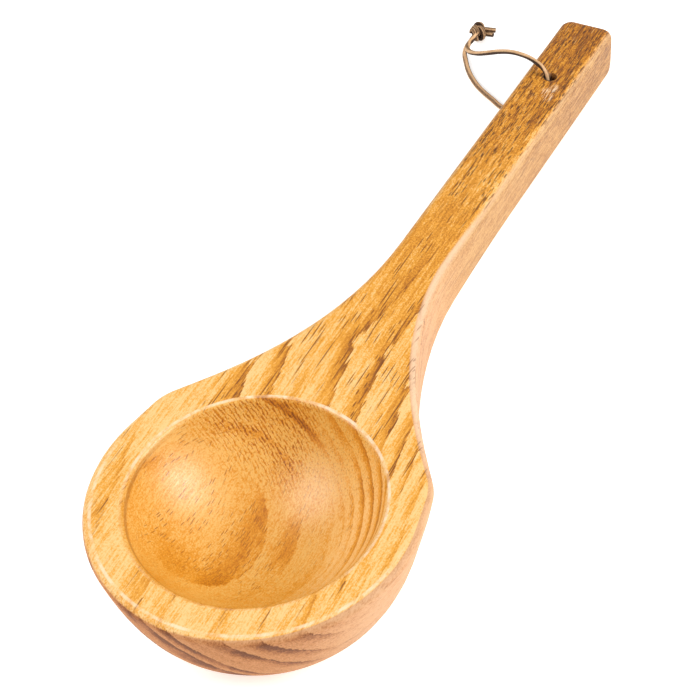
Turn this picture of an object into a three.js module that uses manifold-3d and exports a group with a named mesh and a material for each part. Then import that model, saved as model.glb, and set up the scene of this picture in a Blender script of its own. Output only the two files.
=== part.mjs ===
// A sauna ladle: a round bowl, its shoulders, a neck and a long square-edged handle, all cut from
// one plank of pine, with a leather lace knotted through a hole near the end of the handle.
// Millimetres, +Z up. The origin is the centre of the bowl's flat foot and the handle runs along +Y.
import * as THREE from "three";
import { mergeVertices } from "three/addons/utils/BufferGeometryUtils.js";
import Module from "manifold-3d";

// Bowl, outside
const BOWL_RADIUS = 63.2; // widest plan radius, just under the rim
const BOWL_HEIGHT = 48;
const FOOT_RADIUS = 34;
const FOOT_BLEND = 4; // height over which the foot runs into the underside of the neck
const RIM_ROUND = 2.7; // rounding of the rim's outer edge

// Bowl, inside
const LIP_RADIUS = 50; // mouth of the hollow on the top face
const LIP_ROUND = 2.5;
const HOLLOW_DEPTH = 32;

// Shoulders and neck
const SHOULDER_ANGLE = THREE.MathUtils.degToRad(27); // of the corner where the side meets the flare
const SHOULDER_PROUD = 2.6; // how far that corner stands out of the bowl's circle
const SHOULDER_ROUND = 5; // how far its rounding runs each way
const FLARE_ANGLE = THREE.MathUtils.degToRad(35.7); // from the handle's direction
const FLARE_START_PULL = 20; // length of the flare curve's handles at the shoulder and at the handle
const FLARE_END_PULL = 56;
const SWEEP_START = 205; // where the underside leaves the handle on its way down to the foot

// Handle
const HANDLE_WIDTH = 25.4;
const HANDLE_THICKNESS = 25;
const HANDLE_START = 143; // end of the flare
const HANDLE_END = 317.5;
const HANDLE_CORNER = 5.5; // plan radius of the corners at the end
const TOP_ROUND = 4.2; // rounding of the handle's upper edges
const UNDER_ROUND = 3.5; // and of its lower ones
const DROOP = THREE.MathUtils.degToRad(2.44); // the handle falls a little below the rim's plane
const DROOP_START = 110;
const DROOP_RUN = 40; // length over which the top face bends

// Lace and its hole
const HOLE_RADIUS = 2.9;
const HOLE_Y = 270.5;
const HOLE_EASE = 0.35;
const LACE_DIAMETER = 2.3;
const LACE_GAP = 0.3; // between the lace and what it touches
const KNOT_WIDTH = 8.4; // across the wraps of the knot
const KNOT_HEIGHT = 9;
const KNOT_TURNS = 1.4; // that each strand takes round the knot
const KNOT_PLACE = new THREE.Vector3(-57.1, 44, -21.8); // from the hole's upper mouth
const KNOT_HEADING = THREE.MathUtils.degToRad(70); // of the axis that the wraps go round, from +X

// Facets
const SIDE_RINGS = 11;
const EDGE_RINGS = 5;
const ARC_STEPS = 32;
const FLARE_STEPS = 18;
const HANDLE_STEPS = 9;
const LATHE_STEPS = 90;
const STRAND_SIDES = 8;
const CUT_OVER = 4; // how far a cutter stands out of the face that it cuts

const wasm = await Module();
wasm.setup();

const PINE = new THREE.MeshStandardMaterial({ name: "pine", color: 0xe0a862, roughness: 0.5 });
const LEATHER = new THREE.MeshStandardMaterial({ name: "leather", color: 0xc9a27c, roughness: 0.8 });

// A closed geometry as a solid, for cuts and joins.
function solidOf(geometry) {
  const bare = geometry.clone();
  bare.deleteAttribute("normal");
  bare.deleteAttribute("uv");
  const merged = mergeVertices(bare, 1e-4);
  return new wasm.Manifold(
    new wasm.Mesh({
      numProp: 3,
      vertProperties: merged.attributes.position.array,
      triVerts: new Uint32Array(merged.index.array),
    }),
  );
}

function geometryOf(solid) {
  const { vertProperties, triVerts } = solid.getMesh();
  const geometry = new THREE.BufferGeometry();
  geometry.setAttribute("position", new THREE.BufferAttribute(vertProperties, 3));
  geometry.setIndex(new THREE.BufferAttribute(triVerts, 1));
  geometry.computeVertexNormals();
  return geometry;
}

function named(name, geometry, material) {
  const mesh = new THREE.Mesh(geometry, material);
  mesh.name = name;
  return mesh;
}

// Height of the top face: level over the bowl, then bent down along the handle.
function topHeight(y) {
  const past = THREE.MathUtils.clamp(y - DROOP_START, 0, DROOP_RUN);
  const straight = Math.max(y - DROOP_START - DROOP_RUN, 0);
  return BOWL_HEIGHT - Math.tan(DROOP) * ((past * past) / (2 * DROOP_RUN) + straight);
}

// Height of the underside: the flat foot, one long sweep up the neck, then the handle.
function undersideHeight(y) {
  const share = Math.max(SWEEP_START - y, 0) / (SWEEP_START - FOOT_RADIUS);
  const sweep = topHeight(y) - HANDLE_THICKNESS - (BOWL_HEIGHT - HANDLE_THICKNESS) * share ** 2;
  const near = Math.max(FOOT_BLEND - Math.abs(sweep), 0) / FOOT_BLEND;
  return Math.max(sweep, 0) + (near * near * FOOT_BLEND) / 4;
}

// Right half of the plan outline, from the front of the bowl to the end of the handle. Each point has
// the direction in which the side moves in as it goes down, and its share of the bowl's shape, from 1
// on the bowl to 0 on the handle.
function halfOutline() {
  const halfWidth = HANDLE_WIDTH / 2;
  const polar = (radius, angle) => new THREE.Vector2(radius * Math.cos(angle), radius * Math.sin(angle));
  const reach = BOWL_RADIUS + SHOULDER_PROUD;
  const shoulder = polar(reach, SHOULDER_ANGLE);
  const tangentAngle = SHOULDER_ANGLE - Math.acos(BOWL_RADIUS / reach);
  const tangent = polar(BOWL_RADIUS, tangentAngle);
  const along = shoulder.clone().sub(tangent).normalize();
  const flareWay = new THREE.Vector2(-Math.sin(FLARE_ANGLE), Math.cos(FLARE_ANGLE));
  const roundStart = shoulder.clone().addScaledVector(along, -SHOULDER_ROUND);
  const flareStart = shoulder.clone().addScaledVector(flareWay, SHOULDER_ROUND);
  const flareEnd = new THREE.Vector2(halfWidth, HANDLE_START);
  const cornerY = HANDLE_END - HANDLE_CORNER;
  const cornerX = halfWidth - HANDLE_CORNER;
  const cornerStart = new THREE.Vector2(halfWidth, cornerY);
  const cornerEnd = new THREE.Vector2(cornerX, HANDLE_END);
  const endMiddle = new THREE.Vector2(0, HANDLE_END);
  const flareTo = [
    flareStart.clone().addScaledVector(flareWay, FLARE_START_PULL),
    flareEnd.clone().sub(new THREE.Vector2(0, FLARE_END_PULL)),
    flareEnd,
  ];
  const stretches = [
    [new THREE.EllipseCurve(0, 0, BOWL_RADIUS, BOWL_RADIUS, -Math.PI / 2, tangentAngle), ARC_STEPS, true],
    [new THREE.LineCurve(tangent, roundStart), 3, true],
    [new THREE.QuadraticBezierCurve(roundStart, shoulder, flareStart), 6, true],
    [new THREE.CubicBezierCurve(flareStart, ...flareTo), FLARE_STEPS, false],
    [new THREE.LineCurve(flareEnd, cornerStart), HANDLE_STEPS, false],
    [new THREE.EllipseCurve(cornerX, cornerY, HANDLE_CORNER, HANDLE_CORNER, 0, Math.PI / 2), 6, false],
    [new THREE.LineCurve(cornerEnd, endMiddle), 1, false],
  ];
  const points = [];
  for (const [curve, steps, onBowl] of stretches) {
    for (let step = points.length ? 1 : 0; step <= steps; step++) {
      const place = curve.getPoint(step / steps);
      const way = curve.getTangent(step / steps);
      const outward = onBowl ? place.clone().normalize() : new THREE.Vector2(way.y, -way.x);
      const flare = (place.x - halfWidth) / (flareStart.x - halfWidth);
      points.push({ place, outward, bowl: onBowl ? 1 : Math.max(flare, 0) ** 2 });
    }
  }
  return points;
}

// One vertical section of the side, as steps of inset and height: the rounded top edge, then a curve
// that leans in to the foot on the bowl and stands upright on the handle.
function sideProfile({ place, outward, bowl }) {
  const { lerp } = THREE.MathUtils;
  const inset = lerp(UNDER_ROUND, BOWL_RADIUS - FOOT_RADIUS, bowl);
  const foot = place.clone().addScaledVector(outward, -inset);
  const top = topHeight(place.y);
  const bottom = undersideHeight(foot.y);
  const round = lerp(TOP_ROUND, RIM_ROUND, bowl);
  const side = top - round;
  const steps = [];
  for (let ring = 0; ring < EDGE_RINGS; ring++) {
    const turn = (ring / EDGE_RINGS) * (Math.PI / 2);
    steps.push([round * (1 - Math.sin(turn)), top - round * (1 - Math.cos(turn))]);
  }
  const wall = new THREE.CubicBezierCurve(
    new THREE.Vector2(0, side),
    new THREE.Vector2(inset * lerp(0, 0.11, bowl), lerp(side, bottom, lerp(0.84, 0.375, bowl))),
    new THREE.Vector2(inset * lerp(0.1, 0.31, bowl), bottom),
    new THREE.Vector2(inset, bottom),
  );
  for (let ring = 0; ring <= SIDE_RINGS; ring++) {
    const point = wall.getPoint(ring / SIDE_RINGS);
    steps.push([point.x, point.y]);
  }
  return steps.map(([inward, z]) => {
    const at = place.clone().addScaledVector(outward, -inward);
    return new THREE.Vector3(at.x, at.y, z);
  });
}

// The outside of the ladle: rings of the outline, one below the other, closed by strips that run
// straight across the top face and the underside.
function blankGeometry() {
  const half = halfOutline().map(sideProfile);
  const last = half.length - 1;
  const ringCount = half[0].length;
  const round = 2 * last;
  const vertices = [];
  for (let ring = 0; ring < ringCount; ring++) {
    for (let i = 0; i < round; i++) {
      const point = half[i <= last ? i : round - i][ring];
      const onAxis = i % last === 0;
      vertices.push(onAxis ? 0 : i < last ? point.x : -point.x, point.y, point.z);
    }
  }
  const faces = [];
  const at = (ring, i) => ring * round + ((i + round) % round);
  for (let ring = 0; ring + 1 < ringCount; ring++) {
    for (let i = 0; i < round; i++) {
      faces.push(at(ring, i), at(ring + 1, i), at(ring, i + 1));
      faces.push(at(ring, i + 1), at(ring + 1, i), at(ring + 1, i + 1));
    }
  }
  for (let i = 0; i < last; i++) {
    const lowest = ringCount - 1;
    const top = [at(0, i), at(0, i + 1), at(0, -i - 1), at(0, -i)];
    const under = [at(lowest, -i), at(lowest, -i - 1), at(lowest, i + 1), at(lowest, i)];
    for (const [a, b, c, d] of [top, under]) {
      if (a !== d) faces.push(a, b, d);
      if (b !== c) faces.push(b, c, d);
    }
  }
  const geometry = new THREE.BufferGeometry();
  geometry.setAttribute("position", new THREE.Float32BufferAttribute(vertices, 3));
  geometry.setIndex(faces);
  return geometry;
}

// The hollow: part of a sphere that meets the top face by a rounded lip, tangent to both.
function hollowGeometry() {
  const centerHeight = (LIP_RADIUS ** 2 - HOLLOW_DEPTH ** 2) / (2 * HOLLOW_DEPTH) - LIP_ROUND;
  const sphereRadius = centerHeight + HOLLOW_DEPTH;
  const wallAngle = Math.asin(LIP_RADIUS / (sphereRadius + LIP_ROUND));
  const profile = [];
  const sphereSteps = 14;
  const lipSteps = 5;
  for (let step = 0; step < sphereSteps; step++) {
    const angle = (step / sphereSteps) * wallAngle;
    const height = centerHeight - sphereRadius * Math.cos(angle);
    profile.push(new THREE.Vector2(sphereRadius * Math.sin(angle), height));
  }
  for (let step = 0; step <= lipSteps; step++) {
    const angle = (1 - step / lipSteps) * wallAngle;
    const drop = LIP_ROUND * (1 - Math.cos(angle));
    profile.push(new THREE.Vector2(LIP_RADIUS - LIP_ROUND * Math.sin(angle), -drop));
  }
  profile.push(new THREE.Vector2(LIP_RADIUS, CUT_OVER), new THREE.Vector2(0, CUT_OVER));
  return new THREE.LatheGeometry(profile, LATHE_STEPS).rotateX(Math.PI / 2).translate(0, 0, BOWL_HEIGHT);
}

// The hole for the lace, square to the handle, with both of its mouths eased.
function holeGeometry() {
  const half = HANDLE_THICKNESS / 2;
  const wide = HOLE_RADIUS + HOLE_EASE;
  const profile = [
    [0, -half - HOLE_EASE],
    [wide + HOLE_EASE, -half - HOLE_EASE],
    [HOLE_RADIUS, -half + HOLE_EASE],
    [HOLE_RADIUS, half - HOLE_EASE],
    [wide + HOLE_EASE, half + HOLE_EASE],
    [0, half + HOLE_EASE],
  ].map(([radius, height]) => new THREE.Vector2(radius, height));
  return new THREE.LatheGeometry(profile, 24)
    .rotateX(Math.PI / 2 - DROOP)
    .translate(0, HOLE_Y, topHeight(HOLE_Y) - half);
}

// A length of lace along a path.
function strandGeometry(path, diameter, steps) {
  const section = new THREE.Shape();
  for (let side = 0; side < STRAND_SIDES; side++) {
    const turn = ((side + 0.5) / STRAND_SIDES) * 2 * Math.PI;
    const x = (diameter / 2) * Math.cos(turn);
    const y = (diameter / 2) * Math.sin(turn);
    if (side) section.lineTo(x, y);
    else section.moveTo(x, y);
  }
  return new THREE.ExtrudeGeometry(section, { steps, extrudePath: path });
}

// The free loop of the lace, from the hole's upper mouth: up from the knot and over the handle's edge,
// down through the hole against its wall, and back to the knot along the table. The ladle tips until
// the end of its handle is on the table too, so the lace lies a little above the plane of the foot.
function loopPath() {
  const wall = LACE_DIAMETER / 2 + LACE_GAP - HOLE_RADIUS;
  const under = -HANDLE_THICKNESS;
  const route = [
    [-56.9, 36.6, -20.7],
    [-57.2, 33.3, -21.4],
    [-56.3, 30.1, -21.2],
    [-52.6, 25.4, -18.8],
    [-45.9, 19.6, -13.8],
    [-38.4, 14.9, -8],
    [-30.6, 11.6, -2.7],
    [-23.4, 9, 1],
    [-17.3, 6.7, 3],
    [-12.1, 4.7, 3.9],
    [-7.7, 2.6, 4],
    [-4.4, 1.2, 3.3],
    [-2.3, 0.4, 1.6],
    [wall, 0, -0.7],
    [wall, 0, -8],
    [wall, 0, under + 8],
    [wall, 0, under + 0.7],
    [-2.2, 0.1, under - 1.4],
    [-4, 0.2, under - 2.6],
    [-7.5, 0.5, under - 3.1],
    [-13.5, 1, under - 3],
    [-20.5, 1.8, under - 2.8],
    [-26.9, 3.2, under - 2.5],
    [-31.6, 5.6, under - 2.1],
    [-37, 8.5, under - 1.9],
    [-42.2, 11.8, under - 1.7],
    [-47.4, 16.3, under - 1.5],
    [-51.4, 20.7, under - 1.3],
    [-55.7, 26.9, under - 1],
    [-58.3, 31.3, under - 0.6],
    [-58.9, 34.2, under + 0.2],
    [-58.5, 36.6, under + 1.3],
  ].map(([x, y, z]) => new THREE.Vector3(x, y, z));
  return new THREE.CatmullRomCurve3(route, false, "centripetal");
}

// The lace's two strands on their way through the knot, each from the loop to its cut end.
function throughPath(side) {
  const upper = [
    [0.2, -7.05, 1.1],
    [0.3, -4.5, 1.1],
    [0.2, -1.5, 1],
    [0.5, 0.6, 1],
    [2, 2.2, 0.9],
    [4.6, 3.1, 0.6],
    [7.9, 3.9, 0.2],
  ];
  const lower = [
    [-1.4, -7.05, -1.9],
    [-0.9, -4.5, -1.4],
    [-0.2, -1.5, -1],
    [0.5, 0.6, -1],
    [2, 1.4, -0.9],
    [4.6, 1.1, -0.6],
    [8.5, 0.5, -0.2],
  ];
  const route = (side > 0 ? upper : lower).map(([x, y, z]) => new THREE.Vector3(x, y, z));
  return new THREE.CatmullRomCurve3(route, false, "centripetal");
}

// The same strand where it is wrapped round the outside of the knot. Both ends dive into the knot.
function wrapPath(side) {
  const pitch = LACE_DIAMETER * 0.9;
  const startTurn = 0.1;
  const startRise = 0.4;
  const riseRate = 4;
  const steps = 24;
  const points = [];
  for (let step = 0; step <= steps; step++) {
    const part = step / steps;
    const turn = 2 * Math.PI * (startTurn + KNOT_TURNS * part);
    const rise = Math.min(1, startRise + riseRate * Math.min(part, 1 - part));
    const along = pitch * (side / 2 + part - 0.5);
    const across = (rise * Math.cos(turn) * (KNOT_WIDTH - LACE_DIAMETER)) / 2;
    const up = (rise * Math.sin(turn) * (KNOT_HEIGHT - LACE_DIAMETER)) / 2;
    points.push(new THREE.Vector3(along, across, up));
  }
  const upward = new THREE.Vector3(0, 0, 1);
  points.forEach((point) => point.applyAxisAngle(upward, KNOT_HEADING));
  return new THREE.CatmullRomCurve3(points, false, "centripetal");
}

// The knot is its strands joined together, with the pockets filled that they close off inside it.
function knotGeometry() {
  let knot = null;
  for (const side of [-1, 1]) {
    for (const path of [throughPath(side), wrapPath(side)]) {
      const strand = solidOf(strandGeometry(path, LACE_DIAMETER, 26));
      knot = knot ? knot.add(strand) : strand;
    }
  }
  const [outside] = knot.decompose().sort((a, b) => b.volume() - a.volume());
  return geometryOf(outside);
}

const ladle = new THREE.Group();
const blank = solidOf(blankGeometry());
const carved = blank.subtract(solidOf(hollowGeometry())).subtract(solidOf(holeGeometry()));
ladle.add(named("ladle_body", geometryOf(carved), PINE));

const lace = new THREE.Group();
lace.position.set(0, HOLE_Y, topHeight(HOLE_Y));
lace.add(named("lace_loop", strandGeometry(loopPath(), LACE_DIAMETER, 72), LEATHER));
const knot = named("lace_knot", knotGeometry(), LEATHER);
knot.position.copy(KNOT_PLACE);
lace.add(knot);
ladle.add(lace);

export default ladle;
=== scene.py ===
import math
from types import SimpleNamespace

import bpy
from mathutils import Matrix, Vector


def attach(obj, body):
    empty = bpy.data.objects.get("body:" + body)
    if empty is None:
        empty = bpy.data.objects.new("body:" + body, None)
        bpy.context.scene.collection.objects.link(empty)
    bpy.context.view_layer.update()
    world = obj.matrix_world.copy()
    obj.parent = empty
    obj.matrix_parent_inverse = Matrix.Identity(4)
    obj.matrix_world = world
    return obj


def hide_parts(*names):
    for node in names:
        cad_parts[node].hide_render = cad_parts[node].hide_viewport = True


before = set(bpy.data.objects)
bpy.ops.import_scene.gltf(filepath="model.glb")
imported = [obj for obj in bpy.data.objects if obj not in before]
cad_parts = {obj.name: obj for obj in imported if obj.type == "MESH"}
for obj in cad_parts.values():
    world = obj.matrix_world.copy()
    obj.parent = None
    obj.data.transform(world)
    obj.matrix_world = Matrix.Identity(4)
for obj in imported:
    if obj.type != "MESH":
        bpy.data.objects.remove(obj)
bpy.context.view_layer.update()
scene = bpy.context.scene
scene.view_settings.view_transform = "Standard"

MM = 0.001
IN_MM = (1000, 1000, 1000)

# The camera: its place, the three ways it is turned, and a lens of 1800 pixels for a width of 696.
CAMERA_PLACE = Vector((256.6, -327.64, 555.87)) * MM
CAMERA_RIGHT = Vector((0.88272, 0.46305, -0.07991))
CAMERA_UP = Vector((-0.28908, 0.66921, 0.68454))
CAMERA_BACK = Vector((0.37045, -0.58116, 0.72458))
CAMERA_SENSOR = 36
CAMERA_LENS = CAMERA_SENSOR * 1800 / 696
CAMERA_NEAR = 0.01
CAMERA_FAR = 20

# The table: the ladle tips back on its foot until the handle's end touches.
TABLE_Y = 25.79 * MM
TABLE_Z = 0.17 * MM
TABLE_SLOPE = 0.0519
TABLE_REACH = 3.0
TABLE_GLOW = 0.42

# The light: two lamps, given by place, size in metres, watts and colour, and an even sky.
LAMP_AIM = (0, 0.1, 0.03)
LAMPS = {
    "key_right": ((1.25, 0.45, 0.85), 0.8, 21, (1.0, 0.98, 0.95)),
    "fill_left": ((-0.85, -0.45, 1.0), 0.9, 12.5, (1.0, 0.98, 0.96)),
}
SKY_STRENGTH = 0.44

# The bowl's hollow is part of a ball about this point, and its wall ends at this distance from it.
# The lace's hole and the bare spots beside it are here. All are in millimetres.
HOLLOW_MIDDLE = (0, 0, 68.56)
HOLLOW_EDGE = (54.2, 53.2)
HOLE_MIDDLE = (0, 270.5, 0)
# The painted shade in the hole fades between these distances from its axis.
HOLE_EDGE = (3.4, 2.8)
BARE_SPOTS = ((2.3, 259.1, 42.5), (5, 262.6, 42.3), (5.1, 256.3, 42.6))
BARE_EDGE = (2.8, 0.6)
BARE_STRETCH = 0.6

# Growth layers: how much they lean across the ladle and curl, climb along it, dip at the neck,
# turn up on the front of the bowl, and bow in the hollow.
GRAIN_LEAN = 0.5156
GRAIN_CURL = 0.00115
GRAIN_CLIMB = 0.0856
NECK_START = 84
NECK_LENGTH = 51
NECK_DIP = -0.16
FRONT_TOP = 46
FRONT_TURN = 0.45
HOLLOW_BOW = -0.0035

# Where each growth layer ends, across the grain in millimetres,
# and how dark it gets before that, outside and in the hollow.
RINGS = [
    (15.4, 0.9, 0.9), (23.9, 0.9, 0.62), (36.8, 0.8, 0.25), (42, 0.75, 0.3),
    (47, 0.2, 0.4), (53.8, 0.95, 0.8), (61, 0.95, 0.85), (68.8, 1, 0.8),
    (73, 0.85, 0.6), (76.8, 0.6, 0.5), (81, 0.7, 0.5),
]
FIRST_RING_WIDTH = 9

# How late wood darkens through one layer.
LATE_WOOD = [(0.0, 0.6), (0.025, 0.05), (0.27, 0.1), (0.52, 0.42), (0.77, 0.82), (0.97, 1.0)]

# How softly a pore's dash ends, and how softly dashes are chosen.
DASH_CORE = 0.55
DASH_CHOICE = 0.05

# The wood's colours from pale to dark: gold on top and in the hollow, rose on the sides.
GOLD = [
    (0.0, (0.88, 0.55, 0.215)), (0.3, (0.77, 0.345, 0.032)),
    (0.62, (0.56, 0.205, 0.006)), (1.0, (0.25, 0.075, 0.002)),
]
ROSE = [
    (0.0, (0.63, 0.345, 0.165)), (0.3, (0.53, 0.255, 0.1)),
    (0.62, (0.37, 0.155, 0.055)), (1.0, (0.18, 0.065, 0.022)),
]
HANDLE_SIDE_TINT = (0.91, 0.95, 0.75)
HOLLOW_TINT = (0.92, 0.86, 0.58)
END_TINT = (0.96, 0.78, 0.6)
HOLLOW_END_TINT = (0.98, 0.93, 0.75)
PALE_FIBRE = (0.93, 0.64, 0.30)
# Painted highlight along the rounded edges that face right.
EDGE_HIGHLIGHT = (0.92, 0.66, 0.45)
PORE = (0.17, 0.045, 0.001)
HOLLOW_PORE = (0.36, 0.125, 0.012)
HANDLE_PORE = (0.06, 0.014, 0.0)
# Painted highlights on the rim and lip, and pale worn spots by the hole, share this colour.
HIGHLIGHT_AND_WEAR = (0.95, 0.74, 0.52)
# Painted shade in a thin line just inside the lip.
LIP_SHADE = (0.34, 0.12, 0.01)
# Painted shade inside the lace's hole.
HOLE_SHADE = (0.012, 0.005, 0.003)
WOOD_ROUGHNESS = 0.31
WOOD_IOR = 1.55
WOOD_SPECULAR = 0.52
WOOD_RELIEF = 0.0001

# Shading is smooth across edges that bend less than this. Points this close are one.
BODY_CREASE = math.radians(32)
LACE_CREASE = math.radians(50)
WELD = 1e-6
LARGE_FACES_WEIGHT = 70

# The lace: its hole's upper mouth, its section, and the place of its knot.
MOUTH = Vector((0, 270.5, 42.01)) * MM
HOLE_LENGTH = 25
HOLE_WALL = -1.45
LACE = 2.3 * MM
LACE_THICK = 2.1 * MM
LACE_SIDES = 16
LACE_ROUNDING = 0.72
UPPER_BREADTH = LACE * 1.2
LOWER_BREADTH = LACE * 1.08
KNOT = MOUTH + Vector((-57.1, 44, -21.8)) * MM
KNOT_WIDTH = 8.4
KNOT_HEIGHT = 9
KNOT_TURNS = 1.4
KNOT_PITCH = 1.12
KNOT_SPREAD = 0.5
KNOT_STEPS = 24
KNOT_HEADING = math.radians(58)
KNOT_CROSSING = math.radians(17)
CORE_BREADTH = LACE * 1.6
WRAP_BREADTH = LACE * 0.95

# How many points a span of each path gets.
LACE_SMOOTHING = 7
TAIL_SMOOTHING = 6
WRAP_SMOOTHING = 3

# The leather's colours, from dark to pale: its tan face, the painted shade on its inner face and
# edges, and its creases.
TAN = [(0.15, (0.44, 0.245, 0.12)), (0.5, (0.78, 0.485, 0.26)), (0.85, (0.93, 0.66, 0.41))]
SHADED_FACE = [(0.15, (0.012, 0.005, 0.003)), (0.85, (0.05, 0.022, 0.012))]
CREASE = (0.25, 0.14, 0.07)
LEATHER_ROUGHNESS = 0.6
LEATHER_IOR = 1.45
LEATHER_SPECULAR = 0.2
LEATHER_RELIEF = 0.00012


# ---------------------------------------------------------------- camera

def add_camera():
    data = bpy.data.cameras.new("camera")
    data.sensor_width = CAMERA_SENSOR
    data.lens = CAMERA_LENS
    data.clip_start = CAMERA_NEAR
    data.clip_end = CAMERA_FAR
    camera = bpy.data.objects.new("camera", data)
    turn = Matrix((CAMERA_RIGHT, CAMERA_UP, CAMERA_BACK)).transposed().to_4x4()
    camera.matrix_world = Matrix.Translation(CAMERA_PLACE) @ turn
    scene.collection.objects.link(camera)
    scene.camera = camera


add_camera()


# ---------------------------------------------------------------- nodes

class Graph:
    """A material's nodes, made by short calls. Each call returns an output socket."""

    def __init__(self, name):
        self.material = bpy.data.materials.new(name)
        self.material.use_nodes = True
        self.tree = self.material.node_tree
        self.tree.nodes.clear()

    def add(self, kind, **settings):
        node = self.tree.nodes.new(kind)
        for key, value in settings.items():
            setattr(node, key, value)
        return node

    def put(self, socket, value):
        if isinstance(value, bpy.types.NodeSocket):
            self.tree.links.new(value, socket)
        else:
            socket.default_value = value

    # Numbers.

    def math(self, operation, *values, clamp=False):
        node = self.add("ShaderNodeMath", operation=operation, use_clamp=clamp)
        for socket, value in zip(node.inputs, values):
            self.put(socket, value)
        return node.outputs[0]

    def chain(self, operation, values):
        found = values[0]
        for value in values[1:]:
            found = self.math(operation, found, value)
        return found

    def total(self, *values):
        return self.chain("ADD", values)

    def times(self, *values):
        return self.chain("MULTIPLY", values)

    def most(self, *values):
        return self.chain("MAXIMUM", values)

    def minus(self, value, taken):
        return self.math("SUBTRACT", value, taken)

    def absolute(self, value):
        return self.math("ABSOLUTE", value)

    def weigh(self, base, *terms):
        """The base, plus the product of each term's factors."""
        return self.total(base, *(self.times(*term) for term in terms))

    def less(self, value, share=1.0):
        """One, less a share of the value."""
        return self.math("MULTIPLY_ADD", value, -share, 1.0)

    def between(self, share, first, second):
        """Goes from the first to the second as the share goes from 0 to 1."""
        return self.weigh(first, (self.minus(second, first), share))

    def span(self, value, low, high, to_low=0.0, to_high=1.0):
        """Goes smoothly from one level to another as the value goes from low to high."""
        node = self.add("ShaderNodeMapRange", interpolation_type="SMOOTHSTEP")
        for key, number in zip(
            ("Value", "From Min", "From Max", "To Min", "To Max"),
            (value, low, high, to_low, to_high),
        ):
            self.put(node.inputs[key], number)
        return node.outputs[0]

    def band(self, value, start, full, ebb, end):
        """Rises from 0 to 1 between the start and full, and falls again between the ebb and end."""
        return self.times(self.span(value, start, full), self.span(value, end, ebb))

    # Places.

    def vector(self, operation, first, second, output="Vector"):
        node = self.add("ShaderNodeVectorMath", operation=operation)
        self.put(node.inputs[0], first)
        self.put(node.inputs[1], second)
        return node.outputs[output]

    def scaled(self, vector, factors):
        return self.vector("MULTIPLY", vector, factors)

    def moved(self, vector, step):
        return self.vector("ADD", vector, step)

    def dot(self, vector, way):
        return self.vector("DOT_PRODUCT", vector, way, "Value")

    def distance(self, vector, point):
        return self.vector("DISTANCE", vector, point, "Value")

    def place(self):
        """The place on the piece, in millimetres."""
        return self.scaled(self.add("ShaderNodeTexCoord").outputs["Object"], IN_MM)

    def split(self, vector):
        node = self.add("ShaderNodeSeparateXYZ")
        self.put(node.inputs[0], vector)
        return node.outputs

    def join(self, first, second):
        node = self.add("ShaderNodeCombineXYZ")
        self.put(node.inputs[0], first)
        self.put(node.inputs[1], second)
        return node.outputs[0]

    # Patterns.

    def noise(self, vector, factors, detail=2.0, rough=0.5, colour=False):
        node = self.add("ShaderNodeTexNoise")
        self.put(node.inputs["Vector"], self.scaled(vector, factors))
        node.inputs["Scale"].default_value = 1.0
        node.inputs["Detail"].default_value = detail
        node.inputs["Roughness"].default_value = rough
        return node.outputs["Color" if colour else "Fac"]

    def cells(self, vector, factors, feature="F1", flat=False):
        node = self.add(
            "ShaderNodeTexVoronoi", feature=feature, voronoi_dimensions="2D" if flat else "3D")
        self.put(node.inputs["Vector"], self.scaled(vector, factors))
        node.inputs["Scale"].default_value = 1.0
        return node.outputs

    def dashes(self, vector, cell, reach, share):
        """Long drops, one to a cell, of which a share shows. A cell of two sizes lies flat."""
        factors = tuple(1 / size for size in (*cell, 1)[:3])
        cells = self.cells(vector, factors, flat=len(cell) == 2)
        chosen = self.span(self.split(cells["Color"])[0], share, share - DASH_CHOICE)
        return self.times(self.span(cells["Distance"], reach, reach * DASH_CORE), chosen)

    # Colours and the finished material.

    def ramp(self, value, stops, kind="LINEAR"):
        """Goes through stops, each a place and a colour or a grey."""
        node = self.add("ShaderNodeValToRGB")
        node.color_ramp.interpolation = kind
        self.put(node.inputs[0], value)
        while len(node.color_ramp.elements) < len(stops):
            node.color_ramp.elements.new(1.0)
        for element, (place, colour) in zip(node.color_ramp.elements, stops):
            element.position = place
            element.color = (*(colour if isinstance(colour, tuple) else (colour,) * 3), 1)
        return node.outputs[0]

    def mix(self, share, first, second, blend="MIX"):
        node = self.add("ShaderNodeMix", data_type="RGBA", blend_type=blend)
        self.put(node.inputs[0], share)
        for socket, value in zip((node.inputs[6], node.inputs[7]), (first, second)):
            self.put(socket, (*value, 1) if isinstance(value, tuple) else value)
        return node.outputs[2]

    def bump(self, height, distance, strength=0.6):
        node = self.add("ShaderNodeBump")
        node.inputs["Strength"].default_value = strength
        node.inputs["Distance"].default_value = distance
        self.put(node.inputs["Height"], height)
        return node.outputs[0]

    def finish(self, **values):
        shader = self.add("ShaderNodeBsdfPrincipled")
        for key, value in values.items():
            self.put(shader.inputs[key.replace("_", " ")], value)
        output = self.add("ShaderNodeOutputMaterial")
        self.tree.links.new(shader.outputs[0], output.inputs[0])
        return self.material


# ---------------------------------------------------------------- wood

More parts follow.
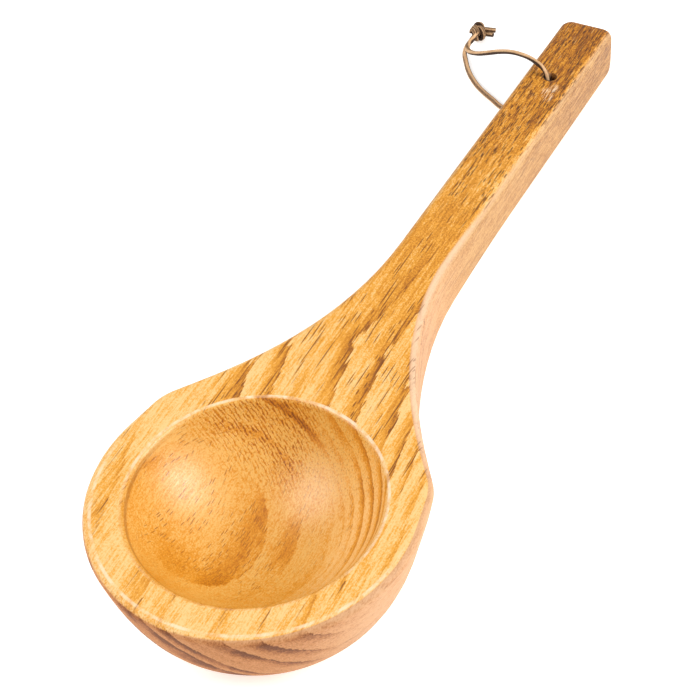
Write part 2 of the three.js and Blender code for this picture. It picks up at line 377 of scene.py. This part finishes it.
def wood_faces(g):
    """Where a point is on the ladle, and masks that are 1 on their own faces and 0 elsewhere.

    Here and below, x, y, z and distances are in millimetres; across, facing and up are the normal.
    """
    place = g.place()
    x, y, z = g.split(place)
    across, facing, up = g.split(g.add("ShaderNodeNewGeometry").outputs["Normal"])
    end_grain = g.span(g.absolute(facing), 0.25, 0.95)
    cut_across = g.span(facing, -0.3, -0.68)
    hollow = g.span(g.distance(place, HOLLOW_MIDDLE), *HOLLOW_EDGE)
    outside = g.less(hollow)

    # The sides begin where a face tilts, sooner on the bowl's right and later on the handle.
    bowl_tilt = g.weigh(up, (g.most(across, 0.0), -1.5))
    handle_tilt = g.weigh(0.625, (up, 0.2), (g.absolute(across), -0.3))
    tilt = g.between(g.span(y, 110, 175), bowl_tilt, handle_tilt)
    side = g.times(g.span(tilt, 0.74, 0.48), outside)
    flank = g.times(g.span(g.absolute(across), 0.1, 0.5), outside, g.less(end_grain, 0.8))

    # The left of the hollow, where the layers hardly show, leaves out a patch on its far left.
    far_left = g.times(g.span(x, -38, -43), g.span(y, 12, 4))
    return SimpleNamespace(
        place=place, x=x, y=y, z=z, across=across, up=up,
        end_grain=end_grain, cut_across=cut_across, hollow=hollow, outside=outside,
        side=side, top=g.less(side), flank=flank,
        butt=g.times(end_grain, side),
        far_wall=g.times(cut_across, hollow),
        front=g.times(g.span(y, -5, -35), outside),
        faint=g.times(g.span(x, -8, -24), g.less(far_left), hollow),
        handle=g.times(g.span(y, 150, 215), g.less(side, 0.6)),
    )


def growth_layers(g, w):
    """The distance across the growth layers, in millimetres as in RINGS."""
    wander = g.noise(w.place, (1 / 38, 1 / 85, 1 / 38), colour=True)
    wander = g.scaled(g.moved(wander, (-0.5, -0.5, -0.5)), (5, 0, 2.5))
    wide, _, high = g.split(g.moved(w.place, wander))
    fray = g.noise(w.place, (0.6, 0.022, 0.6), 3.0, 0.65)
    fraying = g.weigh(g.span(w.y, 40, 70, 2.4, 4.0), (w.faint, 2.5))
    neck = g.math("MINIMUM", g.most(g.minus(w.y, NECK_START), 0), NECK_LENGTH)
    layer = g.weigh(
        high,
        (wide, g.weigh(GRAIN_LEAN, (wide, GRAIN_CURL))),
        (w.y, GRAIN_CLIMB),
        (neck, NECK_DIP),
        (g.minus(fray, 0.5), fraying),
        (g.most(g.minus(FRONT_TOP, w.z), 0), FRONT_TURN, w.front),
    )
    return g.weigh(layer, (w.y, w.y, HOLLOW_BOW, w.hollow, g.span(layer, 42, 30)))


def late_wood(g, w):
    """How dark the late wood of each layer is, and the thin line at a layer's end."""
    x, y, layer = w.x, w.y, w.layer
    first, last = RINGS[0][0] - FIRST_RING_WIDTH, RINGS[-1][0]
    count = len(RINGS)
    ends = [(ring[0] - first) / (last - first) for ring in RINGS]
    starts = [0.0] + ends[:-1]
    share = g.math("DIVIDE", g.minus(g.math("WRAP", layer, last, first), first), last - first)
    steps = g.ramp(share, [(0.0, 0.0)] + [(end, (k + 1) / count) for k, end in enumerate(ends)])
    through = g.math("FRACT", g.times(steps, count * 0.9999))
    dark_outside, dark_inside = (
        g.ramp(share, [(start, ring[k]) for start, ring in zip(starts, RINGS)], "CONSTANT")
        for k in (1, 2)
    )

    # Outside it pales at the front, to the left and right, and along the handle.
    outside = g.times(
        g.span(y, -40, 50, 0.35, 1.0), g.span(x, -55, -30, 0.6, 1.0),
        g.span(y, 95, 150, 1.0, 0.12), g.span(x, 36, 54, 1.0, 0.78),
    )
    outside = g.times(g.most(outside, w.butt), w.outside, dark_outside)

    # In the hollow it pales to the left, around the oval figures, and at the front on the right.
    left = g.times(w.faint, g.span(y, -26, -6, 0.4, 0.9), g.span(y, 26, 12, 0.3, 1.0))
    ovals = g.total(g.span(y, 12.5, 17.5, 0.0, 0.92), g.span(y, 1, -10, 0.0, 0.75))
    ovals = g.times(g.band(layer, 15.2, 16.0, 28, 38), ovals)
    feather = g.times(g.band(layer, 10.5, 15.0, 15.5, 16.5), g.span(x, -4, -20))
    right = g.weigh(1.0, (g.span(x, 20, 32), g.span(y, 14, -14, 0.08, -0.65)))
    inside = g.times(g.less(left), g.less(ovals), g.less(feather, 0.7), right)
    inside = g.times(inside, w.hollow, dark_inside)

    # It is narrow outside and on the hollow's right, and broad in the inner oval.
    lobe = g.times(g.band(layer, 15.2, 16.0, 25, 26), g.span(x, -4, 0))
    narrow = g.weigh(
        1.0,
        (g.span(x, 14, 22), w.hollow, g.span(y, -6, 14, 1.5, 0.6)),
        (lobe, w.hollow, -0.35),
        (g.total(w.front, w.outside), g.less(w.butt)),
    )
    patchy = g.span(g.noise(w.place, (1 / 12, 1 / 45, 1 / 12)), 0.28, 0.6, 0.4, 1.0)
    late = g.math("POWER", g.ramp(through, LATE_WOOD), narrow)
    late = g.times(late, g.total(outside, inside), patchy)
    line = g.times(g.span(through, 0.88, 0.97), g.span(late, 0.15, 0.6), w.outside)
    return late, line


def hollow_marks(g, w):
    """A comb of torn fibres and two dark arcs, on the far wall of the hollow."""
    comb_way = g.dot(w.place, (0.7, 0.5, 0.5))
    comb_place = g.join(comb_way, g.dot(w.place, (0.18, -0.13, -0.13)))
    teeth = g.total(g.times(comb_way, 4.6), g.times(g.noise(comb_place, (0.7, 1.1, 1)), 11.0))
    comb = g.times(
        g.span(g.math("SINE", teeth), -0.2, 0.8),
        g.span(g.noise(comb_place, (0.9, 1.6, 1)), 0.36, 0.56),
        w.far_wall, g.span(w.x, 8, -6),
    )
    upper = g.times(g.span(g.absolute(g.minus(w.layer, 41.2)), 3.0, 0.5), g.span(w.y, 37, 43))
    lower = g.times(
        g.band(w.layer, 21.0, 24.3, 24.6, 25.4), g.span(w.y, 24, 31), g.span(w.x, 4, -8))
    return comb, g.times(g.weigh(upper, (lower, 0.45)), w.hollow)


def pores(g, w):
    """Dark pores, thin dashes along the grain and dots where they are cut across; pale dashes."""
    late, hollow, handle = w.late, w.hollow, w.handle
    level = g.math("GREATER_THAN", g.absolute(w.up), 0.6)
    sheet = g.join(g.between(level, w.z, w.x), w.y)
    neck = g.band(w.y, 45, 85, 160, 200)
    patch = g.span(g.noise(w.place, (1 / 8, 1 / 40, 1 / 8)), 0.42, 0.6, 0.0, 0.5)
    fine_many = g.weigh(
        patch, (late, hollow, 1.1), (handle, 0.5), (hollow, g.span(w.x, 22, 0, 0.0, 0.28)))
    short_many = g.weigh(patch, (late, 0.8), (handle, 0.75))
    middling_many = g.weigh(patch, (late, 0.7), (neck, 0.4), (handle, 0.7))
    long_many = g.weigh(late, (g.most(neck, g.times(handle, 0.6)), patch))
    fine = g.times(
        g.dashes(g.moved(sheet, (11.7, 57.3, 0)), (0.95, 7.5), 0.23, 0.75),
        g.span(fine_many, 0.4, 0.8, 0.0, 0.95),
    )
    short = g.times(
        g.dashes(sheet, (1.7, 9), 0.22, 0.65),
        g.span(short_many, 0.45, 0.85), g.less(hollow, 0.7),
    )
    middling = g.times(
        g.dashes(g.moved(sheet, (31.3, 17.9, 0)), (1.6, 24), 0.18, 0.7),
        g.span(middling_many, 0.4, 0.8),
    )
    long = g.times(
        g.dashes(g.moved(sheet, (61.7, 43.1, 0)), (2.0, 75), 0.16, 0.85),
        g.span(long_many, 0.04, 0.25),
    )
    dash = g.most(fine, short, g.times(g.most(middling, long), g.less(hollow, 0.85)))
    wide_dots = g.times(
        g.dashes(w.place, (2, 5, 2), 0.28, 0.7),
        g.span(g.noise(w.place, (1 / 9, 1 / 9, 1 / 9)), 0.48, 0.6),
    )
    dots = g.most(g.dashes(w.place, (0.8, 2.4, 0.8), 0.46, 1.0), wide_dots)
    dots = g.times(dots, w.cut_across, w.fleck, 0.7)
    pale = g.dashes(g.moved(sheet, (91.3, 73.1, 0)), (1.9, 14), 0.18, 0.5)
    return g.most(g.times(dash, g.less(w.end_grain)), dots), pale


def wood_tone(g, w):
    """How dark the wood is, from 0 to 1, before its pores."""
    x, y, across, late, hollow = w.x, w.y, w.across, w.late, w.hollow
    strand = g.span(g.noise(w.place, (0.62, 0.016, 0.62)), 0.36, 0.68)
    grit = g.span(g.noise(w.place, (1.7, 1.3, 1.7), 1.0), 0.36, 0.64)
    blotch = g.noise(w.place, (1 / 24, 1 / 70, 1 / 24))
    late_share = g.weigh(0.66, (hollow, g.span(x, 18, 32, -0.1, 0.16)), (w.butt, 0.8))
    fibre_share = g.weigh(g.span(y, 120, 220, 0.16, 0.28), (hollow, -0.1))
    tone = g.weigh(
        0.0,
        (late, late_share),
        (g.minus(w.fibre, 0.5), fibre_share),
        (g.minus(strand, 0.5), g.weigh(0.16, (hollow, -0.1))),
        (g.minus(w.fleck, 0.5), g.span(y, 130, 250, 0.2, 0.48)),
        (g.minus(grit, 0.5), g.span(y, 60, 160, 0.2, 0.32)),
        (w.line, w.fibre, 0.46),
        (w.comb, 0.62),
        (w.arc, 0.45),
        (w.far_wall, -0.06),
        (g.minus(blotch, 0.5), 0.45),
        (g.span(y, 65, 140, 0.0, 0.31), g.span(x, -24, -12, 0.4, 1.0), w.top),
        (g.span(y, -5, -30, 0.0, 0.07), hollow),
        (g.span(y, 190, 310, 0.0, 0.4), g.less(w.side, 0.55)),
        (g.span(across, 0.1, 0.4), g.span(y, 120, 200), w.top, -0.15),
        (w.side, g.span(across, 0.9, 1.0), g.span(y, 110, 200, 0.0, 0.2)),
        (late, w.flank, -0.5),
    )
    return g.math("ADD", tone, 0.11, clamp=True)


def wood_colour(g, w, tone):
    """The oiled wood's colour with its pores and a painted highlight on the edges that face right,
    before wear and painted light.
    """
    rose = g.mix(g.span(w.y, 100, 170), g.ramp(tone, ROSE), HANDLE_SIDE_TINT, "MULTIPLY")
    colour = g.mix(w.side, g.ramp(tone, GOLD), rose)
    colour = g.mix(g.times(w.hollow, g.span(w.x, 38, 14)), colour, HOLLOW_TINT, "MULTIPLY")
    burnt = g.times(w.end_grain, g.most(w.hollow, w.side))
    colour = g.mix(burnt, colour, g.mix(w.hollow, END_TINT, HOLLOW_END_TINT), "MULTIPLY")
    colour = g.mix(g.times(w.pale, w.handle, 0.2), colour, PALE_FIBRE)
    # Painted highlight: a pale band on the rounded edges that face right, where the key lamp falls.
    edge = g.times(
        g.band(w.across, 0.1, 0.5, 0.6, 1.0), w.side,
        g.span(w.y, 20, 60), g.span(w.y, 140, 240, 0.5, 0.25),
    )
    colour = g.mix(edge, colour, EDGE_HIGHLIGHT)
    pore = g.mix(w.handle, g.mix(w.hollow, PORE, HOLLOW_PORE), HANDLE_PORE)
    return g.mix(g.times(w.dash, g.weigh(0.85, (w.side, -0.3))), colour, pore)


def wear_and_painted_light(g, w, colour):
    """Paints highlights on the rim's front and the lip and shade inside the lip and in the hole;
    pales worn spots by the hole.
    """
    seen_from_above = g.scaled(w.place, (1, 1, 0))
    spread = g.distance(seen_from_above, (0, 0, 0))
    highlight_strength = g.span(g.noise(w.place, (1 / 7, 1 / 7, 1 / 7), 3.0, 0.6), 0.4, 0.6, 0.25, 1.0)
    # Painted highlight: a pale line along the rim's front edge.
    rim_highlight = g.times(
        g.band(spread, 59.3, 59.9, 60.5, 61.2), g.span(w.z, 46.8, 47.4), g.span(w.y, 20, -20))
    # Painted highlight: a pale line round the lip, stronger towards the far side.
    lip_highlight = g.times(
        g.band(spread, 48.5, 49.0, 49.6, 50.1), g.span(w.z, 46.2, 46.8),
        g.span(w.y, -30, 10, 0.2, 1.3),
    )
    highlight_and_wear = g.times(g.most(rim_highlight, lip_highlight), highlight_strength)
    # Pale worn spots beside the hole, the wood's own wear.
    for x, y, z in BARE_SPOTS:
        stretched = g.scaled(w.place, (1, BARE_STRETCH, 1))
        spot = g.span(g.distance(stretched, (x, y * BARE_STRETCH, z)), *BARE_EDGE)
        highlight_and_wear = g.most(highlight_and_wear, g.times(spot, g.span(w.fleck, 0.75, 0.2)))
    colour = g.mix(g.times(highlight_and_wear, 0.65), colour, HIGHLIGHT_AND_WEAR)
    # Painted shade: a dark line just inside the lip, towards the front.
    lip_shade = g.times(
        g.band(spread, 46.7, 47.3, 47.6, 48.0), g.span(w.z, 42.5, 44.0), g.span(w.y, 25, -15))
    colour = g.mix(g.times(lip_shade, 0.6), colour, LIP_SHADE)
    # Painted shade: the inside of the lace's hole goes near black.
    hole_shade = g.span(g.distance(seen_from_above, HOLE_MIDDLE), *HOLE_EDGE)
    return g.mix(hole_shade, colour, HOLE_SHADE)


def wood():
    g = Graph("oiled_pine")
    w = wood_faces(g)
    w.layer = growth_layers(g, w)
    w.late, w.line = late_wood(g, w)
    w.fibre = g.span(g.noise(w.place, (1.9, 0.06, 1.9), 3.0, 0.7), 0.34, 0.66)
    w.fleck = g.span(g.noise(w.place, (1.6, 0.15, 1.6), 3.0, 0.65), 0.36, 0.64)
    w.comb, w.arc = hollow_marks(g, w)
    w.dash, w.pale = pores(g, w)
    colour = wear_and_painted_light(g, w, wood_colour(g, w, wood_tone(g, w)))
    rough = g.weigh(
        WOOD_ROUGHNESS, (w.outside, 0.24), (w.fibre, 0.1), (w.dash, -0.05), (w.butt, 0.3))
    relief = g.weigh(
        0.0, (w.fibre, 0.3), (w.dash, -0.2), (w.late, 0.3), (w.fleck, 0.3), (w.comb, -1.4))
    return g.finish(
        Base_Color=colour, Roughness=rough, IOR=WOOD_IOR, Specular_IOR_Level=WOOD_SPECULAR,
        Normal=g.bump(relief, WOOD_RELIEF),
    )


def smooth_shading(piece, angle):
    """Rounds a CAD node's shading and keeps its flat faces flat. Its mesh stays as it is."""
    tree = bpy.data.node_groups.new("smooth_shading", "GeometryNodeTree")
    for way in ("INPUT", "OUTPUT"):
        tree.interface.new_socket("Geometry", in_out=way, socket_type="NodeSocketGeometry")
    start = tree.nodes.new("NodeGroupInput")
    end = tree.nodes.new("NodeGroupOutput")
    weld = tree.nodes.new("GeometryNodeMergeByDistance")
    weld.inputs["Distance"].default_value = WELD
    faces = tree.nodes.new("GeometryNodeSetShadeSmooth")
    faces.domain = "FACE"
    edges = tree.nodes.new("GeometryNodeSetShadeSmooth")
    edges.domain = "EDGE"
    edges.inputs["Shade Smooth"].default_value = False
    bend = tree.nodes.new("GeometryNodeInputMeshEdgeAngle")
    sharp = tree.nodes.new("FunctionNodeCompare")
    sharp.inputs["B"].default_value = angle
    links = tree.links
    links.new(start.outputs[0], weld.inputs["Geometry"])
    links.new(weld.outputs[0], faces.inputs["Geometry"])
    links.new(faces.outputs[0], edges.inputs["Geometry"])
    links.new(bend.outputs["Unsigned Angle"], sharp.inputs["A"])
    links.new(sharp.outputs[0], edges.inputs["Selection"])
    links.new(edges.outputs[0], end.inputs[0])
    piece.modifiers.new("smooth_shading", "NODES").node_group = tree
    even = piece.modifiers.new("even_normals", "WEIGHTED_NORMAL")
    even.keep_sharp = True
    even.weight = LARGE_FACES_WEIGHT


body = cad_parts["ladle_body"]
body.data.materials.clear()
body.data.materials.append(wood())
smooth_shading(body, BODY_CREASE)


# ---------------------------------------------------------------- lace

def smooth_curve(points, per_span):
    """Points on a centripetal Catmull-Rom curve through the given ones."""
    ends = [2 * points[0] - points[1], *points, 2 * points[-1] - points[-2]]
    found = []
    for k in range(len(points) - 1):
        four = ends[k:k + 4]
        knots = [0.0]
        for a, b in zip(four, four[1:]):
            knots.append(knots[-1] + (b - a).length ** 0.5)
        for step in range(per_span):
            t = knots[1] + (knots[2] - knots[1]) * step / per_span
            row = four
            for reach in (1, 2):
                row = [
                    a.lerp(b, (t - knots[i]) / (knots[i + reach] - knots[i]))
                    for i, (a, b) in enumerate(zip(row, row[1:]))
                ]
            found.append(row[0].lerp(row[1], step / per_span))
    return found + [points[-1]]


def lace_mesh(name, strands):
    """Closed strands of a rounded section, in one piece.

    Each strand is a path, where its inner face looks, its breadth and how dark its edges are; the
    inner face and edges get painted shade.
    The inner face looks at a point, or the way that a function of the place gives.
    """
    places, faces, inner, run = [], [], [], []
    for path, inside, breadth, edge in strands:
        first = len(places)
        gone = 0.0
        for k, p in enumerate(path):
            ahead = (path[min(k + 1, len(path) - 1)] - path[max(k - 1, 0)]).normalized()
            gone += (p - path[k - 1]).length if k else 0.0
            look = inside(p) if callable(inside) else inside - p
            look = (look - look.dot(ahead) * ahead).normalized()
            aside = ahead.cross(look)
            for side in range(LACE_SIDES):
                turn = 2 * math.pi * (side + 0.5) / LACE_SIDES
                c, s = math.cos(turn), math.sin(turn)
                c = math.copysign(abs(c) ** LACE_ROUNDING, c)
                s = math.copysign(abs(s) ** LACE_ROUNDING, s)
                places.append(p + look * (c * LACE_THICK / 2) + aside * (s * breadth / 2))
                # Painted shade: near black on the inner face, on the edges by the edge setting, and
                # a little on the opposite face.
                inner.append(max(c - edge / 2, edge * abs(s) ** 5, 0.4 * max(0, -c) ** 4))
                run.append((gone, s * breadth / 2, c * LACE_THICK / 2))
        count = len(path)
        for k in range(count - 1):
            for side in range(LACE_SIDES):
                a = first + k * LACE_SIDES + side
                b = first + k * LACE_SIDES + (side + 1) % LACE_SIDES
                faces.append((a, b, b + LACE_SIDES, a + LACE_SIDES))
        faces.append(tuple(first + side for side in reversed(range(LACE_SIDES))))
        last = first + (count - 1) * LACE_SIDES
        faces.append(tuple(last + side for side in range(LACE_SIDES)))
    mesh = bpy.data.meshes.new(name)
    mesh.from_pydata(places, [], faces)
    mesh.attributes.new("inner", "FLOAT", "POINT").data.foreach_set("value", inner)
    mesh.attributes.new("run", "FLOAT_VECTOR", "POINT").data.foreach_set(
        "vector", [n for triple in run for n in triple])
    mesh.polygons.foreach_set("use_smooth", [True] * len(faces))
    mesh.set_sharp_from_angle(angle=LACE_CREASE)
    mesh.validate()
    piece = bpy.data.objects.new(name, mesh)
    scene.collection.objects.link(piece)
    return piece


def leather():
    g = Graph("tan_leather")
    run = g.scaled(g.add("ShaderNodeAttribute", attribute_name="run").outputs["Vector"], IN_MM)
    inner = g.add("ShaderNodeAttribute", attribute_name="inner").outputs["Fac"]
    place = g.place()
    grain = g.cells(place, (4.2, 4.2, 4.2), "DISTANCE_TO_EDGE")["Distance"]
    fleck = g.noise(place, (3.0, 3.0, 3.0), 3.0, 0.6)
    streak = g.noise(run, (0.22, 0.9, 0.9))
    tone = g.weigh(-0.1, (fleck, 0.5), (streak, 0.7))
    # Painted shade: the inner face, which looks down, into the loop or into the knot, and the edges
    # go near black.
    ragged = g.weigh(inner, (g.minus(fleck, 0.5), 0.6))
    colour = g.mix(g.span(ragged, 0.12, 0.5), g.ramp(tone, TAN), g.ramp(tone, SHADED_FACE))
    crease = g.span(grain, 0.10, 0.0)
    colour = g.mix(g.times(crease, 0.3), colour, CREASE)
    relief = g.weigh(0.0, (crease, -0.6), (fleck, 0.7))
    rough = g.weigh(LEATHER_ROUGHNESS, (fleck, 0.2))
    return g.finish(
        Base_Color=colour, Roughness=rough, IOR=LEATHER_IOR,
        Specular_IOR_Level=LEATHER_SPECULAR, Normal=g.bump(relief, LEATHER_RELIEF),
    )


def route(points):
    return [MOUTH + Vector(p) * MM for p in points]


UNDER = -HOLE_LENGTH
upper_route = route([
    (HOLE_WALL, 0, UNDER / 2), (HOLE_WALL, 0, -8), (HOLE_WALL, 0, -0.7), (-2.3, 0.4, 1.6),
    (-4.4, 1.2, 3.3), (-7.7, 2.6, 4), (-12.1, 4.7, 3.9), (-17.3, 6.7, 3), (-23.4, 9, 1),
    (-30.6, 11.6, -2.7), (-38.4, 14.9, -8), (-45.9, 19.6, -13.8), (-52.6, 25.4, -18.8),
    (-56.3, 30.1, -21.2), (-57.2, 33.3, -21.4), (-56.9, 36.6, -20.7), (-56.8, 39.5, -20.7),
    (-56.9, 42.5, -20.8),
])
lower_route = route([
    (HOLE_WALL, 0, UNDER / 2), (HOLE_WALL, 0, UNDER + 8), (HOLE_WALL, 0, UNDER + 0.7),
    (-2.2, 0.1, UNDER - 1.4), (-4, 0.2, UNDER - 2.6), (-7.5, 0.5, UNDER - 3.1),
    (-13.5, 1, UNDER - 3), (-20.5, 1.8, UNDER - 2.8), (-26.9, 3.2, UNDER - 2.5),
    (-31.6, 5.6, UNDER - 2.1), (-37, 8.5, UNDER - 1.9), (-42.2, 11.8, UNDER - 1.7),
    (-47.4, 16.3, UNDER - 1.5), (-51.4, 20.7, UNDER - 1.3), (-55.7, 26.9, UNDER - 1),
    (-58.3, 31.3, UNDER - 0.6), (-58.9, 34.2, UNDER + 0.2), (-58.5, 36.6, UNDER + 1.3),
    (-58, 39.5, UNDER + 1.8), (-57.3, 42.5, UNDER + 2.2),
])


def in_knot(points):
    return [KNOT + Vector(p) * MM for p in points]


def wrap(side):
    """One of the knot's two wraps: a coil whose ends turn inwards. The two cross each other."""
    thick = LACE / MM
    pitch = thick * KNOT_PITCH
    heading = Matrix.Rotation(KNOT_HEADING + side * KNOT_CROSSING, 3, "Z")
    found = []
    for step in range(KNOT_STEPS + 1):
        part = step / KNOT_STEPS
        turn = 2 * math.pi * (0.1 + KNOT_TURNS * part)
        rise = min(1, 0.2 + 5 * min(part, 1 - part))
        along = pitch * (side / 2 + part - 0.5) + side * KNOT_SPREAD * math.cos(turn - 0.6)
        across = rise * math.cos(turn) * (KNOT_WIDTH - thick + side * KNOT_SPREAD) / 2
        up = rise * math.sin(turn) * (KNOT_HEIGHT - thick + side * KNOT_SPREAD) / 2
        found.append(heading @ Vector((along, across, up)))
    return in_knot(found)


def upper_inside(p):
    """The upper strand's face with painted shade looks into the loop, but at the hole's wall where
    it goes in.
    """
    share = min(1, max(0, (MOUTH.x - p.x) / (12 * MM) - 0.2))
    return Vector((-1, -0.3, 0)).lerp(Vector((0.42, -0.85, -0.5)), share)


def lower_inside(p):
    """The lower strand's face with painted shade looks down and into the loop."""
    return (MOUTH + Vector((-30, 14, -33)) * MM) - p


tan_leather = leather()
upper_path = smooth_curve(upper_route, LACE_SMOOTHING)
lower_path = smooth_curve(lower_route, LACE_SMOOTHING)
lace_upper = lace_mesh("lace_upper", [(upper_path, upper_inside, UPPER_BREADTH, 0)])
lace_lower = lace_mesh("lace_lower", [(lower_path, lower_inside, LOWER_BREADTH, 0)])
tails = [
    in_knot([(0.2, -1.5, 1), (0.5, 0.6, 1), (2, 2.4, 0.9), (4.6, 3.5, 0.6), (7.6, 4.6, 0.2)]),
    in_knot([(-0.2, -1.5, -1), (0.5, 0.6, -1), (2, 1.5, -0.9), (4.6, 1.5, -0.6), (7.5, 1.5, -0.2)]),
]
core = in_knot([(-1.6, -2.4, 0.7), (0, 0, 1.3), (1.4, 2.2, 0.7)])
# The tails and the knot's core get their painted shade on the underside.
below = KNOT - Vector((0, 0, 30)) * MM
knot = lace_mesh(
    "lace_knot_tied",
    [(smooth_curve(tail, TAIL_SMOOTHING), below, LACE, 0.5) for tail in tails]
    + [(smooth_curve(core, TAIL_SMOOTHING), below, CORE_BREADTH, 0.4)]
    + [(smooth_curve(wrap(side), WRAP_SMOOTHING), KNOT, WRAP_BREADTH, 0.8) for side in (-1, 1)],
)
for piece in (lace_upper, lace_lower, knot):
    piece.data.materials.append(tan_leather)
    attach(piece, "root")
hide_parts("lace_loop")
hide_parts("lace_loop")
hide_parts("lace_knot")


# ---------------------------------------------------------------- stage

def add_floor():
    corners = []
    for x, y in ((-1, -1), (1, -1), (1, 1), (-1, 1)):
        height = TABLE_Z + TABLE_SLOPE * (y * TABLE_REACH - TABLE_Y)
        corners.append((x * TABLE_REACH, y * TABLE_REACH, height))
    mesh = bpy.data.meshes.new("table_top")
    mesh.from_pydata(corners, [], [(0, 1, 2, 3)])
    mesh.materials.append(Graph("pale_table").finish(
        Base_Color=(0.95, 0.95, 0.95, 1), Roughness=0.9,
        Emission_Color=(1, 1, 1, 1), Emission_Strength=TABLE_GLOW,
    ))
    floor = bpy.data.objects.new("table_top", mesh)
    scene.collection.objects.link(floor)


def add_lamp(name, place, size, watts, colour):
    data = bpy.data.lights.new(name, "AREA")
    data.shape = "DISK"
    data.size = size
    data.energy = watts
    data.color = colour
    lamp = bpy.data.objects.new(name, data)
    lamp.location = place
    lamp.rotation_euler = (Vector(LAMP_AIM) - Vector(place)).to_track_quat("-Z", "Y").to_euler()
    scene.collection.objects.link(lamp)


def add_sky():
    world = bpy.data.worlds.new("studio")
    world.use_nodes = True
    shade = world.node_tree.nodes["Background"]
    shade.inputs["Color"].default_value = (1, 1, 1, 1)
    shade.inputs["Strength"].default_value = SKY_STRENGTH
    scene.world = world


add_floor()
for name, settings in LAMPS.items():
    add_lamp(name, *settings)
add_sky()
